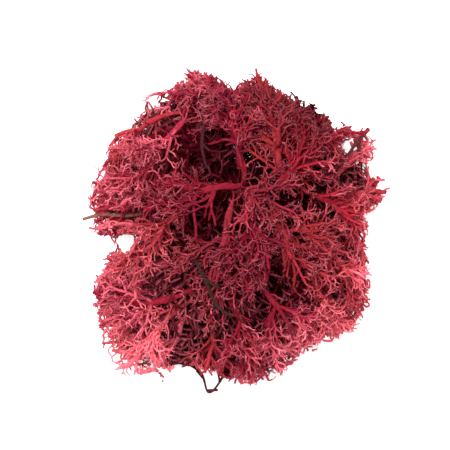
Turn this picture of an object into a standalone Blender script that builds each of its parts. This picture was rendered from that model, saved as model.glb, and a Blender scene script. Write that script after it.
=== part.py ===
"""Reindeer moss clump.

A handful of dyed reindeer moss lying on a surface, seen from above in the photo.
Every spray is one solid: a stalk, its limbs and its twigs, grown by one seeded
rule and fused.  Each spray keeps clear of its neighbours by a small gap, and a
short leaning twig carries it to within reach of one.  Loose stems lie among them.

Work is in millimetres until a shape is made.  Up is +Z, the surface is Z = 0 and
+Y points to the top of the photo.
"""

import math
import random
from collections import namedtuple

import bmesh
import bpy
import numpy as np
from mathutils import Quaternion, Vector

MM = 0.001

# The clump's outline from above, as its reach from the middle every 15 degrees
# counter-clockwise from +X, and the round spots within it where nothing grows
CLUMP_HEIGHT = 46.0
REACH_STEP = 15.0
CLUMP_REACH = (43, 51.5, 52, 51, 48, 51, 46.5, 54.5, 51, 49, 49.5, 48,
               47, 48, 52, 57, 56, 53, 51, 49.5, 47.5, 48, 49.5, 45)
BARE_SPOTS = ((-35, -3.5, 3), (-45, -5, 4.5), (-41, -4, 3), (37, 28, 2.5), (46, 21, 3))

# Thickness of stalks, limbs and twigs
STALK_RADIUS = 1.0
STALK_TIP_RADIUS = 0.72
LIMB_RADIUS = 0.62
LIMB_TIP_RADIUS = 0.5
TWIG_TIP_RADIUS = 0.37
ROOT_SHARE = 0.45

# How a stalk is placed: its attempts, and how far each moves it
GROWTH_SEED = 1871
STALK_STEPS = 4
STALK_KINK = 0.5
STALK_TRIES = 60
STALK_PLAY = 0.5
STALK_PLAY_GROWTH = 0.06

# How a spray branches: the attempts for a fork, the shorter ones of them, and what
# counts as the better one
FORK_TRIES = 18
FULL_TRIES = 9
SHORT_SHARE = 0.8
SIZE_PLAY = (0.75, 1.1)
OUTWARD_WEIGHT = 0.25
LEAN_LEAST = 34.0
LEAN_MOST = 60.0
FACE_PLAY = 12.0
SETBACK = 1.0
SETBACK_STEP = 0.5
BEND_BACK = 0.35
BEND_OUT = 0.4
STEM_TWIG = 4.5

# Clearances
GAP = 0.36
SURFACE_GAP = 0.15
LEANING_TIP_RADIUS = 0.3
MOST_LENGTHS = 4000
TINY = 1e-9

# Cores: the stalk's step that each lies along, its height over the surface where
# it rests, and how far its spikes and its hollows reach
CORE_STEP = 3
CORE_REST = 0.6
CORE_LEAST = 2.5
CORE_SPIKE = (0.88, 1.0)
CORE_HOLLOW = (0.5, 0.68)
FLAT_ANGLES = (4.0, 1.0, 0.5, 0.2, 0.1, 0.05)

Spray = namedtuple("Spray", "name colour foot middle tip reach forks core")
Stem = namedtuple("Stem", "name colour places radii twigs")
Rule = namedtuple("Rule", "share steps each_fork last_fork radii")

RULES = {
    1: Rule(0.72, 2, 2, 3, (LIMB_RADIUS, LIMB_TIP_RADIUS)),
    2: Rule(0.45, 1, 1, 2, (TWIG_TIP_RADIUS,)),
}

SPRAYS = tuple(Spray(*row) for row in (
    ("left_upper_fan", "coral", (-12, 39, 27), (-32, 32, 25), (-42, 14, 17), 13, 3, 4.5),
    ("left_inner_spray", "crimson", (-16, 35, 33), (-24, 26, 33), (-30, 13, 28), 13, 3, 0),
    ("left_far_tuft", "crimson", (-22, 8, 29), (-33, 7, 26), (-42, 3, 17), 12, 3, 0),
    ("top_left_tuft", "rose", (-11, 33, 28), (-13, 41, 26), (-10, 49, 19), 11, 3, 0),
    ("top_cap", "crimson", (9, 36, 36), (1, 42, 34), (-8, 42, 27), 12, 3, 0),
    ("top_right_tuft", "rose", (9, 36, 28), (8, 42, 25), (6, 47, 18), 10, 2, 0),
    ("upper_right_band", "coral", (16, 15, 39), (13, 28, 39), (10, 39, 32), 12, 3, 0),
    ("burgundy_tuft", "burgundy", (14, 30, 31), (19, 36, 28), (25, 40, 22), 12, 2, 4.5),
    ("right_upper_spray", "scarlet", (19, 16, 36), (26, 24, 33), (33, 29, 25), 13, 3, 4.0),
    ("right_tuft", "rose", (32, 17, 27), (37, 25, 25), (39, 32, 18), 11, 2, 0),
    ("right_far_tuft", "coral", (32, 10, 27), (40, 12, 23), (46, 14, 16), 11, 2, 0),
    ("right_middle_spray", "scarlet", (22, 13, 36), (31, 8, 33), (38, -1, 23), 13, 3, 4.5),
    ("right_lower_fan", "scarlet", (23, 5, 37), (32, -9, 32), (39, -21, 19), 13, 3, 4.5),
    ("right_corner_fan", "coral", (21, -9, 34), (28, -19, 28), (34, -30, 16), 13, 3, 4.5),
    ("bottom_right_fan", "crimson", (5, -14, 36), (14, -24, 32), (22, -37, 18), 13, 3, 4.5),
    ("bottom_centre_spray", "crimson", (-3, -19, 35), (2, -29, 31), (10, -41, 19), 13, 3, 4),
    ("bottom_middle_fan", "coral", (-9, -23, 32), (-6, -37, 26), (2, -46, 14), 13, 3, 4.0),
    ("bottom_left_fan", "coral", (-14, -22, 34), (-25, -30, 28), (-35, -41, 15), 13, 3, 4.5),
    ("bottom_left_tuft", "rose", (-16, -28, 31), (-20, -36, 24), (-26, -46, 13), 12, 2, 4.0),
    ("left_lower_spray", "crimson", (-12, -17, 36), (-27, -22, 32), (-42, -23, 18), 13, 3, 0),
    ("left_middle_spray", "rose", (-17, -9, 36), (-28, -12, 32), (-39, -13, 20), 13, 3, 4.0),
    ("coral_spray", "coral", (-17, 7, 39), (-22, 2, 38), (-29, -5, 32), 12, 3, 0),
    ("centre_flat_spray", "crimson", (2, 14, 44), (-8, 14, 44), (-19, 10, 39), 12, 3, 0),
    ("centre_low_spray", "rose", (-1, 10, 44), (-4, -3, 43), (-7, -15, 39), 13, 3, 0),
    ("centre_star_spray", "crimson", (2, 8, 42), (5, 0, 41), (2, -10, 37), 12, 3, 0),
    ("centre_right_spray", "coral", (10, 5, 42), (16, -1, 40), (21, -6, 36), 12, 3, 0),
    ("centre_top_spray", "crimson", (3, 15, 42), (2, 24, 41), (0, 35, 37), 12, 2, 0),
    ("centre_bough_spray", "scarlet", (9, 12, 42), (16, 20, 40), (21, 28, 35), 12, 3, 0),
    ("centre_knot_spray", "rose", (0, 12, 35), (3, 13, 40), (6, 11, 44), 12, 2, 0),
    ("hollow_left_spray", "burgundy", (-3, 21, 27), (-8, 26, 28), (-15, 26, 28), 12, 2, 0),
    ("hollow_centre_spray", "burgundy", (-4, 9, 30), (-9, 4, 29), (-10, -6, 28), 12, 2, 0),
    ("hollow_right_spray", "burgundy", (10, -9, 30), (16, -12, 29), (22, -15, 27), 12, 2, 0),
    ("under_top_spray", "burgundy", (0, 14, 20), (3, 26, 14), (5, 37, 6), 13, 2, 6.0),
    ("under_right_spray", "burgundy", (9, 4, 20), (21, 4, 14), (32, 6, 6), 13, 2, 6.0),
    ("under_right_low_spray", "burgundy", (7, -7, 19), (15, -17, 13), (24, -27, 6), 13, 2, 6),
    ("under_bottom_spray", "burgundy", (-2, -9, 19), (-3, -21, 13), (-6, -33, 6), 13, 2, 6.0),
    ("under_left_spray", "burgundy", (-8, -2, 19), (-19, -7, 13), (-31, -12, 6), 13, 2, 6.0),
    ("under_left_top_spray", "burgundy", (-8, 9, 20), (-19, 17, 14), (-29, 24, 6), 13, 2, 6.0),
    ("under_right_top_spray", "burgundy", (8, 11, 20), (17, 19, 14), (25, 27, 7), 12, 2, 0),
    ("under_centre_spray", "burgundy", (0, 3, 23), (1, 2, 15), (2, -1, 5.5), 12, 2, 5.5),
))

STEMS = tuple(Stem(*row) for row in (
    ("left_stem", "brown", ((-49, 4, 15), (-43, 5.5, 18), (-35, 5, 22), (-27, 6, 26)),
     (0.7, 0.8, 0.7, 0.5), 2),
    ("right_stem", "dark", ((43, 33, 27), (39, 28.5, 29), (34, 22, 31), (27, 17, 29)),
     (1.4, 1.1, 0.8, 0.6), 2),
    ("bottom_stem", "dark", ((-20, -42, 5), (-10, -46, 5), (-4.5, -52, 5), (-1, -47, 6),
                             (1, -40, 8)), (0.7, 0.7, 0.6, 0.7, 0.6), 4),
    ("blade_stem", "dark", ((-38, -19, 25), (-31, -20.5, 28), (-25, -22, 30)),
     (0.5, 1.0, 0.6), 1),
    ("bark_stem", "grey", ((-13, -8, 43), (-9, -16, 43), (-6, -23, 41), (-1, -27, 38)),
     (0.6, 0.8, 0.7, 0.5), 2),
    ("top_stem", "dark", ((-11, 44, 31), (-10, 35, 34), (-10.5, 27, 36), (-9, 20, 37)),
     (0.6, 0.7, 0.7, 0.5), 2),
))

# Colour, roughness
COLOURS = {
    "crimson": ((0.30, 0.020, 0.035), 0.85),
    "scarlet": ((0.42, 0.022, 0.035), 0.85),
    "rose": ((0.40, 0.050, 0.080), 0.88),
    "coral": ((0.48, 0.070, 0.075), 0.88),
    "burgundy": ((0.12, 0.008, 0.018), 0.85),
    "dark": ((0.045, 0.010, 0.012), 0.75),
    "brown": ((0.16, 0.065, 0.045), 0.80),
    "grey": ((0.22, 0.13, 0.10), 0.85),
}


class Limb:
    """A tapering three-cornered limb: its places, radii and first corner's direction."""

    def __init__(self, order, points, radii, side):
        self.order = order
        self.points = points
        self.radii = radii
        self.side = side

    def way(self, index):
        """The direction of travel on reaching a place along the limb."""
        index = max(index, 1)
        return (self.points[index] - self.points[index - 1]).normalized()

    def corner(self, index):
        """The first corner's direction, square to the way at that place."""
        way = self.way(index)
        return (self.side - way * self.side.dot(way)).normalized()


class Thicket:
    """All that has grown, and the tests that keep one spray clear of the rest."""

    def __init__(self):
        self.starts = np.zeros((MOST_LENGTHS, 3))
        self.ends = np.zeros((MOST_LENGTHS, 3))
        self.radii = np.zeros(MOST_LENGTHS)
        self.owners = np.zeros(MOST_LENGTHS, dtype=int)
        self.count = 0

    def add(self, owner, limb):
        for index in range(1, len(limb.points)):
            self.add_length(owner, limb.points[index - 1], limb.points[index],
                            max(limb.radii[index - 1], limb.radii[index]))

    def add_length(self, owner, start, end, radius):
        row = self.count
        self.starts[row], self.ends[row] = start, end
        self.radii[row], self.owners[row] = radius, owner
        self.count += 1

    def distances(self, start, end, rows):
        """Shortest distances from a line to each line of the rows, and where."""
        a, b = np.array(start), np.array(end)
        p, q = self.starts[rows], self.ends[rows]
        ours, theirs, between = b - a, q - p, a - p
        aa = max(ours @ ours, TINY)
        tt = np.maximum((theirs * theirs).sum(1), TINY)
        at = theirs @ ours
        ab = between @ ours
        tb = (theirs * between).sum(1)
        spread = aa * tt - at * at
        s = np.where(spread > TINY, (at * tb - ab * tt) / np.maximum(spread, TINY), 0.0)
        s = np.clip(s, 0.0, 1.0)
        t = np.clip((at * s + tb) / tt, 0.0, 1.0)
        s = np.clip((at * t - ab) / aa, 0.0, 1.0)
        near = a + s[:, None] * ours
        far = p + t[:, None] * theirs
        return np.linalg.norm(near - far, axis=1), near, far

    def room(self, owner, start, end, radius):
        """The gap left between a new length and everything of the other sprays."""
        rows = np.nonzero(self.owners[:self.count] != owner)[0]
        if not len(rows):
            return math.inf
        apart = self.distances(start, end, rows)[0]
        return float((apart - self.radii[rows]).min()) - radius

    def loneliness(self, end):
        """How far a new tip would stand from every tip there is."""
        tips = self.ends[:self.count]
        return float(np.linalg.norm(tips - np.array(end), axis=1).min())


def reach(point):
    """How far the clump reaches from its middle, towards a place."""
    turn = math.degrees(math.atan2(point.y, point.x)) % 360 / REACH_STEP
    first = int(turn) % len(CLUMP_REACH)
    second = (first + 1) % len(CLUMP_REACH)
    share = turn - int(turn)
    return CLUMP_REACH[first] * (1 - share) + CLUMP_REACH[second] * share


def inside(point, radius):
    """Whether a tip stays above the surface and within the clump's outline."""
    if point.z < radius + SURFACE_GAP or point.z > CLUMP_HEIGHT:
        return False
    for x, y, size in BARE_SPOTS:
        if math.hypot(point.x - x, point.y - y) < size:
            return False
    return math.hypot(point.x, point.y) < reach(point)


def arc(foot, middle, tip, count):
    """Places along the curve that passes through three."""
    pull = 2 * middle - (foot + tip) / 2
    places = []
    for step in range(count + 1):
        share = step / count
        places.append((1 - share) ** 2 * foot + 2 * share * (1 - share) * pull
                      + share * share * tip)
    return places


def nudge(size, dice):
    return Vector([dice.uniform(-size, size) for _ in range(3)])


def side_of(points, dice):
    """Where a limb's first corner points, at a random turn round its way."""
    way = points[1] - points[0]
    return Quaternion(way, dice.uniform(0, math.tau)) @ way.orthogonal().normalized()


def grow_stalk(thicket, owner, spray, dice):
    """A gently kinked stalk, moved a little until it clears the others."""
    foot, middle, tip = Vector(spray.foot), Vector(spray.middle), Vector(spray.tip)
    radii = [STALK_RADIUS + (STALK_TIP_RADIUS - STALK_RADIUS) * step / STALK_STEPS
             for step in range(STALK_STEPS + 1)]
    best, best_room = None, -math.inf
    for attempt in range(STALK_TRIES):
        play = STALK_PLAY + attempt * STALK_PLAY_GROWTH
        places = arc(foot + nudge(play, dice), middle + nudge(play, dice),
                     tip + nudge(play, dice), STALK_STEPS)
        for place in places[1:-1]:
            place += nudge(STALK_KINK, dice)
        room = min(thicket.room(owner, places[step], places[step + 1], radii[step])
                   for step in range(STALK_STEPS))
        if room > best_room:
            best, best_room = places, room
        if room > GAP:
            break
    stalk = Limb(0, best, radii, side_of(best, dice))
    thicket.add(owner, stalk)
    return stalk


def try_path(thicket, owner, origin, heading, length, radii, bend):
    """A limb's places if it stays inside the clump and clear of the others."""
    places = [origin]
    steps = len(radii) - 1
    for step in range(steps):
        end = places[-1] + heading * (length / steps)
        if not inside(end, radii[step + 1]):
            return None
        if thicket.room(owner, places[-1], end, max(radii[step:step + 2])) < GAP:
            return None
        places.append(end)
        heading = (heading + bend).normalized()
    return places


def fork(thicket, owner, parent, index, used, length, radii, outward, dice):
    """The best of several limbs from a place along a parent, out through a free face."""
    way, corner = parent.way(index), parent.corner(index)
    origin = parent.points[index] - way * (SETBACK + SETBACK_STEP * len(used))
    bend = (way * (1 - BEND_OUT) + outward * BEND_OUT) * BEND_BACK
    best, best_score, best_face = None, -math.inf, None
    for attempt in range(FORK_TRIES):
        face = attempt % 3
        if face in used:
            continue
        turn = math.radians(60 + 120 * face + dice.uniform(-FACE_PLAY, FACE_PLAY))
        lean = math.radians(dice.uniform(LEAN_LEAST, LEAN_MOST))
        out = Quaternion(way, turn) @ corner
        heading = (way * math.cos(lean) + out * math.sin(lean)).normalized()
        size = length * dice.uniform(*SIZE_PLAY)
        size *= 1.0 if attempt < FULL_TRIES else SHORT_SHARE
        places = try_path(thicket, owner, origin, heading, size, radii, bend)
        if not places:
            continue
        score = thicket.loneliness(places[-1])
        score += OUTWARD_WEIGHT * heading.dot(outward) * size
        if score > best_score:
            best, best_score, best_face = places, score, face
    if best is None:
        return None
    used.add(best_face)
    limb = Limb(parent.order + 1, best, radii, side_of(best, dice))
    thicket.add(owner, limb)
    return limb


def branch(thicket, owner, limbs, spray, order, dice):
    """Grow the next order of limbs from every limb of the last one."""
    rule = RULES[order]
    outward = (Vector(spray.tip) - Vector(spray.middle)).normalized()
    for parent in [limb for limb in limbs if limb.order == order - 1]:
        last = len(parent.points) - 1
        first = last - spray.forks + 1 if order == 1 else 1
        for index in range(last, first - 1, -1):
            used = set()
            radii = (parent.radii[index] * ROOT_SHARE, *rule.radii)
            for _ in range(rule.last_fork if index == last else rule.each_fork):
                limb = fork(thicket, owner, parent, index, used,
                            spray.reach * rule.share, radii, outward, dice)
                if limb:
                    limbs.append(limb)


def branch_stem(thicket, owner, limbs, stem, dice):
    """A few short twigs on a loose stem."""
    trunk = limbs[0]
    for count in range(stem.twigs):
        index = 1 + count % (len(trunk.points) - 1)
        radii = (trunk.radii[index] * ROOT_SHARE, TWIG_TIP_RADIUS)
        twig = fork(thicket, owner, trunk, index, set(), STEM_TWIG, radii,
                    trunk.way(index), dice)
        if twig:
            limbs.append(twig)


def core_of(thicket, owner, spray, stalk):
    """The two ends and the radius of the core along a stalk, if it has room."""
    low = stalk.points[CORE_STEP].copy()
    high = stalk.points[CORE_STEP + 1].copy()
    if spray.tip[2] <= spray.core:
        low.z = high.z = spray.core * CORE_REST
    radius = min(spray.core, thicket.room(owner, low, high, 0.0) - GAP)
    if radius < CORE_LEAST:
        return None
    thicket.add_length(owner, low, high, radius)
    return low, high, radius


def nearest_pairs(thicket, number):
    """For every two owners, the least gap between them, its two places and lengths."""
    pairs = {}
    rows = np.nonzero(thicket.radii[:thicket.count] < CORE_LEAST)[0]
    for row in rows:
        owner = thicket.owners[row]
        apart, near, far = thicket.distances(thicket.starts[row], thicket.ends[row], rows)
        apart = apart - thicket.radii[row] - thicket.radii[rows]
        for other in range(owner + 1, number):
            theirs = np.nonzero(thicket.owners[rows] == other)[0]
            best = theirs[np.argmin(apart[theirs])]
            if (owner, other) not in pairs or apart[best] < pairs[owner, other][0]:
                pairs[owner, other] = (float(apart[best]), Vector(near[best]),
                                       Vector(far[best]), row, rows[best])
    return pairs


def lean_together(thicket, limbs, names):
    """Join all the sprays in a chain of nearest neighbours, by short leaning twigs."""
    pairs = nearest_pairs(thicket, len(names))
    group = list(range(len(names)))
    for (first, second), found in sorted(pairs.items(), key=lambda item: item[1][0]):
        if group[first] == group[second]:
            continue
        _, near, far, our_row, their_row = found
        heading = (far - near).normalized()
        way = Vector(thicket.ends[their_row] - thicket.starts[their_row]).normalized()
        surface = thicket.radii[their_row] * math.sqrt(1 - min(way.dot(heading) ** 2, 1))
        limbs[names[first]].append(Limb(
            2, [near, far - heading * (surface + GAP)],
            (thicket.radii[our_row] * ROOT_SHARE, LEANING_TIP_RADIUS),
            heading.orthogonal().normalized()))
        gone, kept = group[first], group[second]
        group = [kept if number == gone else number for number in group]


def grow_clump():
    """Every spray's and stem's limbs and every core, by name, the same at each run."""
    dice = random.Random(GROWTH_SEED)
    thicket = Thicket()
    names = [row.name for row in STEMS + SPRAYS]
    owner = {name: number for number, name in enumerate(names)}
    limbs, cores = {}, {}
    for stem in STEMS:
        points = [Vector(place) for place in stem.places]
        limbs[stem.name] = [Limb(0, points, stem.radii, side_of(points, dice))]
        thicket.add(owner[stem.name], limbs[stem.name][0])
    for spray in SPRAYS:
        limbs[spray.name] = [grow_stalk(thicket, owner[spray.name], spray, dice)]
    for spray in SPRAYS:
        if spray.core:
            cores[spray.name] = core_of(thicket, owner[spray.name], spray,
                                        limbs[spray.name][0])
    for spray in SPRAYS:
        branch(thicket, owner[spray.name], limbs[spray.name], spray, 1, dice)
    for stem in STEMS:
        branch_stem(thicket, owner[stem.name], limbs[stem.name], stem, dice)
    for spray in SPRAYS:
        branch(thicket, owner[spray.name], limbs[spray.name], spray, 2, dice)
    lean_together(thicket, limbs, names)
    return limbs, cores


def loft(limb):
    """A closed three-sided solid along a limb."""
    shape = bmesh.new()
    rings = []
    last = len(limb.points) - 1
    for index, (point, radius) in enumerate(zip(limb.points, limb.radii)):
        way = limb.way(index)
        if 0 < index < last:
            way = (way + limb.way(index + 1)).normalized()
        corner = (limb.side - way * limb.side.dot(way)).normalized()
        rings.append([shape.verts.new((point + Quaternion(way, math.tau * turn / 3)
                                       @ corner * radius) * MM) for turn in range(3)])
    for low, high in zip(rings, rings[1:]):
        for turn in range(3):
            after = (turn + 1) % 3
            shape.faces.new((low[turn], low[after], high[after], high[turn]))
    shape.faces.new(rings[0][::-1])
    shape.faces.new(rings[-1])
    bmesh.ops.triangulate(shape, faces=shape.faces)
    bmesh.ops.recalc_face_normals(shape, faces=shape.faces)
    mesh = bpy.data.meshes.new("limb")
    shape.to_mesh(mesh)
    shape.free()
    return bpy.data.objects.new("limb", mesh)


def make_core(low, high, radius, dice):
    """A spiky core inside a dense head, cut flat where it meets the surface."""
    bpy.ops.mesh.primitive_ico_sphere_add(subdivisions=2, radius=radius)
    made = bpy.context.object
    along = high - low
    turn = Vector((0, 0, 1)).rotation_difference(along)
    stretch = (radius + along.length / 2) / radius
    middle = (low + high) / 2
    shape = bmesh.new()
    shape.from_mesh(made.data)
    for corner in shape.verts:
        spike = len(corner.link_edges) == 5
        corner.co *= dice.uniform(*(CORE_SPIKE if spike else CORE_HOLLOW))
        corner.co.z *= stretch
        corner.co.rotate(turn)
        corner.co = (corner.co + middle) * MM
    if middle.z < radius:
        cut = bmesh.ops.bisect_plane(
            shape, geom=shape.verts[:] + shape.edges[:] + shape.faces[:],
            plane_co=(0, 0, 0), plane_no=(0, 0, -1), clear_outer=True)
        rim = [item for item in cut["geom_cut"] if isinstance(item, bmesh.types.BMEdge)]
        bmesh.ops.holes_fill(shape, edges=rim)
        bmesh.ops.recalc_face_normals(shape, faces=shape.faces)
    shape.to_mesh(made.data)
    shape.free()
    for holder in list(made.users_collection):
        holder.objects.unlink(made)
    return made


def flatten(mesh):
    """Merge level neighbouring faces, keeping the mesh as it was where that opens it."""
    for angle in FLAT_ANGLES:
        for method in ("BEAUTY", "EAR_CLIP"):
            shape = bmesh.new()
            shape.from_mesh(mesh)
            bmesh.ops.dissolve_limit(shape, angle_limit=math.radians(angle),
                                     verts=shape.verts, edges=shape.edges,
                                     use_dissolve_boundaries=False)
            bmesh.ops.triangulate(shape, faces=shape.faces, ngon_method=method)
            closed = all(edge.is_manifold for edge in shape.edges)
            if closed:
                shape.to_mesh(mesh)
            shape.free()
            if closed:
                return


def fuse(name, limbs, heart, material, clump, dice):
    """Join a spray's limbs and core into one solid."""
    helpers = bpy.data.collections.new(name + "_limbs")
    bpy.context.scene.collection.children.link(helpers)
    body = loft(limbs[0])
    body.name = name
    clump.objects.link(body)
    for limb in limbs[1:]:
        helpers.objects.link(loft(limb))
    if heart:
        helpers.objects.link(make_core(*heart, dice))
    join = body.modifiers.new("fuse", "BOOLEAN")
    join.operation = "UNION"
    join.operand_type = "COLLECTION"
    join.collection = helpers
    join.solver = "MANIFOLD"
    bpy.context.view_layer.update()
    graph = bpy.context.evaluated_depsgraph_get()
    fused = bpy.data.meshes.new_from_object(body.evaluated_get(graph))
    body.modifiers.clear()
    flatten(fused)
    fused.name = name
    fused.materials.clear()
    fused.materials.append(material)
    body.data = fused
    for helper in list(helpers.objects):
        bpy.data.objects.remove(helper)
    bpy.data.collections.remove(helpers)


def make_material(name, tint, roughness):
    material = bpy.data.materials.new(name)
    material.use_nodes = True
    shader = material.node_tree.nodes["Principled BSDF"]
    shader.inputs["Base Color"].default_value = (*tint, 1)
    shader.inputs["Roughness"].default_value = roughness
    shader.inputs["Metallic"].default_value = 0.0
    material.diffuse_color = (*tint, 1)
    return material


def main():
    for item in list(bpy.data.objects):
        bpy.data.objects.remove(item)
    clump = bpy.data.collections.new("reindeer_moss_clump")
    bpy.context.scene.collection.children.link(clump)
    materials = {name: make_material(name, *look) for name, look in COLOURS.items()}
    limbs, cores = grow_clump()
    dice = random.Random(GROWTH_SEED)
    for row in SPRAYS + STEMS:
        fuse(row.name, limbs[row.name], cores.get(row.name), materials[row.colour],
             clump, dice)


if __name__ == "__main__":
    main()
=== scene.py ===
"""Reindeer moss clump: the look.

The same seeded rule that grew the solids grows their limbs again here, smooth this
time, and finer and finer forks then fill each spray out to its last tips.

Growth is in millimetres.  Up is +Z and +Y points to the top of the photo.
"""

import math
import random
from collections import namedtuple

import bpy
import numpy as np
from bpy.props import (FloatProperty, FloatVectorProperty, IntProperty,
                       PointerProperty)
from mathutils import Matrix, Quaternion, Vector


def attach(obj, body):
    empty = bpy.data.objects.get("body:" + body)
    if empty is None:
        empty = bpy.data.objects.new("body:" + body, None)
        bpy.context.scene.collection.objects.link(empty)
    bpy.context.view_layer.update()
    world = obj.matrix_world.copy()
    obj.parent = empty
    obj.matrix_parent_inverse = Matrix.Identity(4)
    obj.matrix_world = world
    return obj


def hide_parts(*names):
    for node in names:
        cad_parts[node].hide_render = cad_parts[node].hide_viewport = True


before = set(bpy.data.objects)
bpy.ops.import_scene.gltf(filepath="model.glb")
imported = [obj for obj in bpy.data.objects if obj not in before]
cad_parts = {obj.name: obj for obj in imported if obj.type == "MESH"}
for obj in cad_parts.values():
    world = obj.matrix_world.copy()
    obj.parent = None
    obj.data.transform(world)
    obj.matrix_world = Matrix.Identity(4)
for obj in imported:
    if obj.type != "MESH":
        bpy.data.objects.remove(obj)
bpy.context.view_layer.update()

bl_info = {
    "name": "Reindeer moss clump",
    "version": (1, 0, 0),
    "blender": (4, 5, 0),
    "location": "3D View > Sidebar > Moss",
    "description": "Grows the lace of a reindeer moss clump over its solids",
    "category": "Add Mesh",
}

MM = 0.001

# The clump's outline from above, as its reach from the middle every 15 degrees
# counter-clockwise from +X, and the round spots within it where nothing grows
CLUMP_HEIGHT = 46.0
REACH_STEP = 15.0
CLUMP_REACH = (43, 51.5, 52, 51, 48, 51, 46.5, 54.5, 51, 49, 49.5, 48,
               47, 48, 52, 57, 56, 53, 51, 49.5, 47.5, 48, 49.5, 45)
BARE_SPOTS = ((-35, -3.5, 3), (-45, -5, 4.5), (-41, -4, 3), (37, 28, 2.5), (46, 21, 3))

# Thickness of stalks, limbs and twigs
STALK_RADIUS = 1.0
STALK_TIP_RADIUS = 0.72
LIMB_RADIUS = 0.62
LIMB_TIP_RADIUS = 0.5
TWIG_TIP_RADIUS = 0.37
ROOT_SHARE = 0.45

# How a stalk is placed: its attempts, and how far each moves it
GROWTH_SEED = 1871
STALK_STEPS = 4
STALK_KINK = 0.5
STALK_TRIES = 60
STALK_PLAY = 0.5
STALK_PLAY_GROWTH = 0.06

# How a spray branches: the attempts for a fork, the shorter ones of them, and what
# counts as the better one
FORK_TRIES = 18
FULL_TRIES = 9
SHORT_SHARE = 0.8
SIZE_PLAY = (0.75, 1.1)
OUTWARD_WEIGHT = 0.25
LEAN_LEAST = 34.0
LEAN_MOST = 60.0
FACE_PLAY = 12.0
SETBACK = 1.0
SETBACK_STEP = 0.5
BEND_BACK = 0.35
BEND_OUT = 0.4
STEM_TWIG = 4.5

# Gaps, a leaning twig's tip, how many lengths there is room for, and the least
# number that anything is divided by
GAP = 0.36
SURFACE_GAP = 0.15
LEANING_TIP_RADIUS = 0.3
MOST_LENGTHS = 4000
TINY = 1e-9

# Cores: the stalk's step that each lies along, and its height over the surface
# where it rests
CORE_STEP = 3
CORE_REST = 0.6
CORE_LEAST = 2.5

Spray = namedtuple("Spray", "name colour foot middle tip reach forks core")
Stem = namedtuple("Stem", "name colour places radii twigs")
Rule = namedtuple("Rule", "share steps each_fork last_fork radii")

RULES = {
    1: Rule(0.72, 2, 2, 3, (LIMB_RADIUS, LIMB_TIP_RADIUS)),
    2: Rule(0.45, 1, 1, 2, (TWIG_TIP_RADIUS,)),
}

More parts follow.
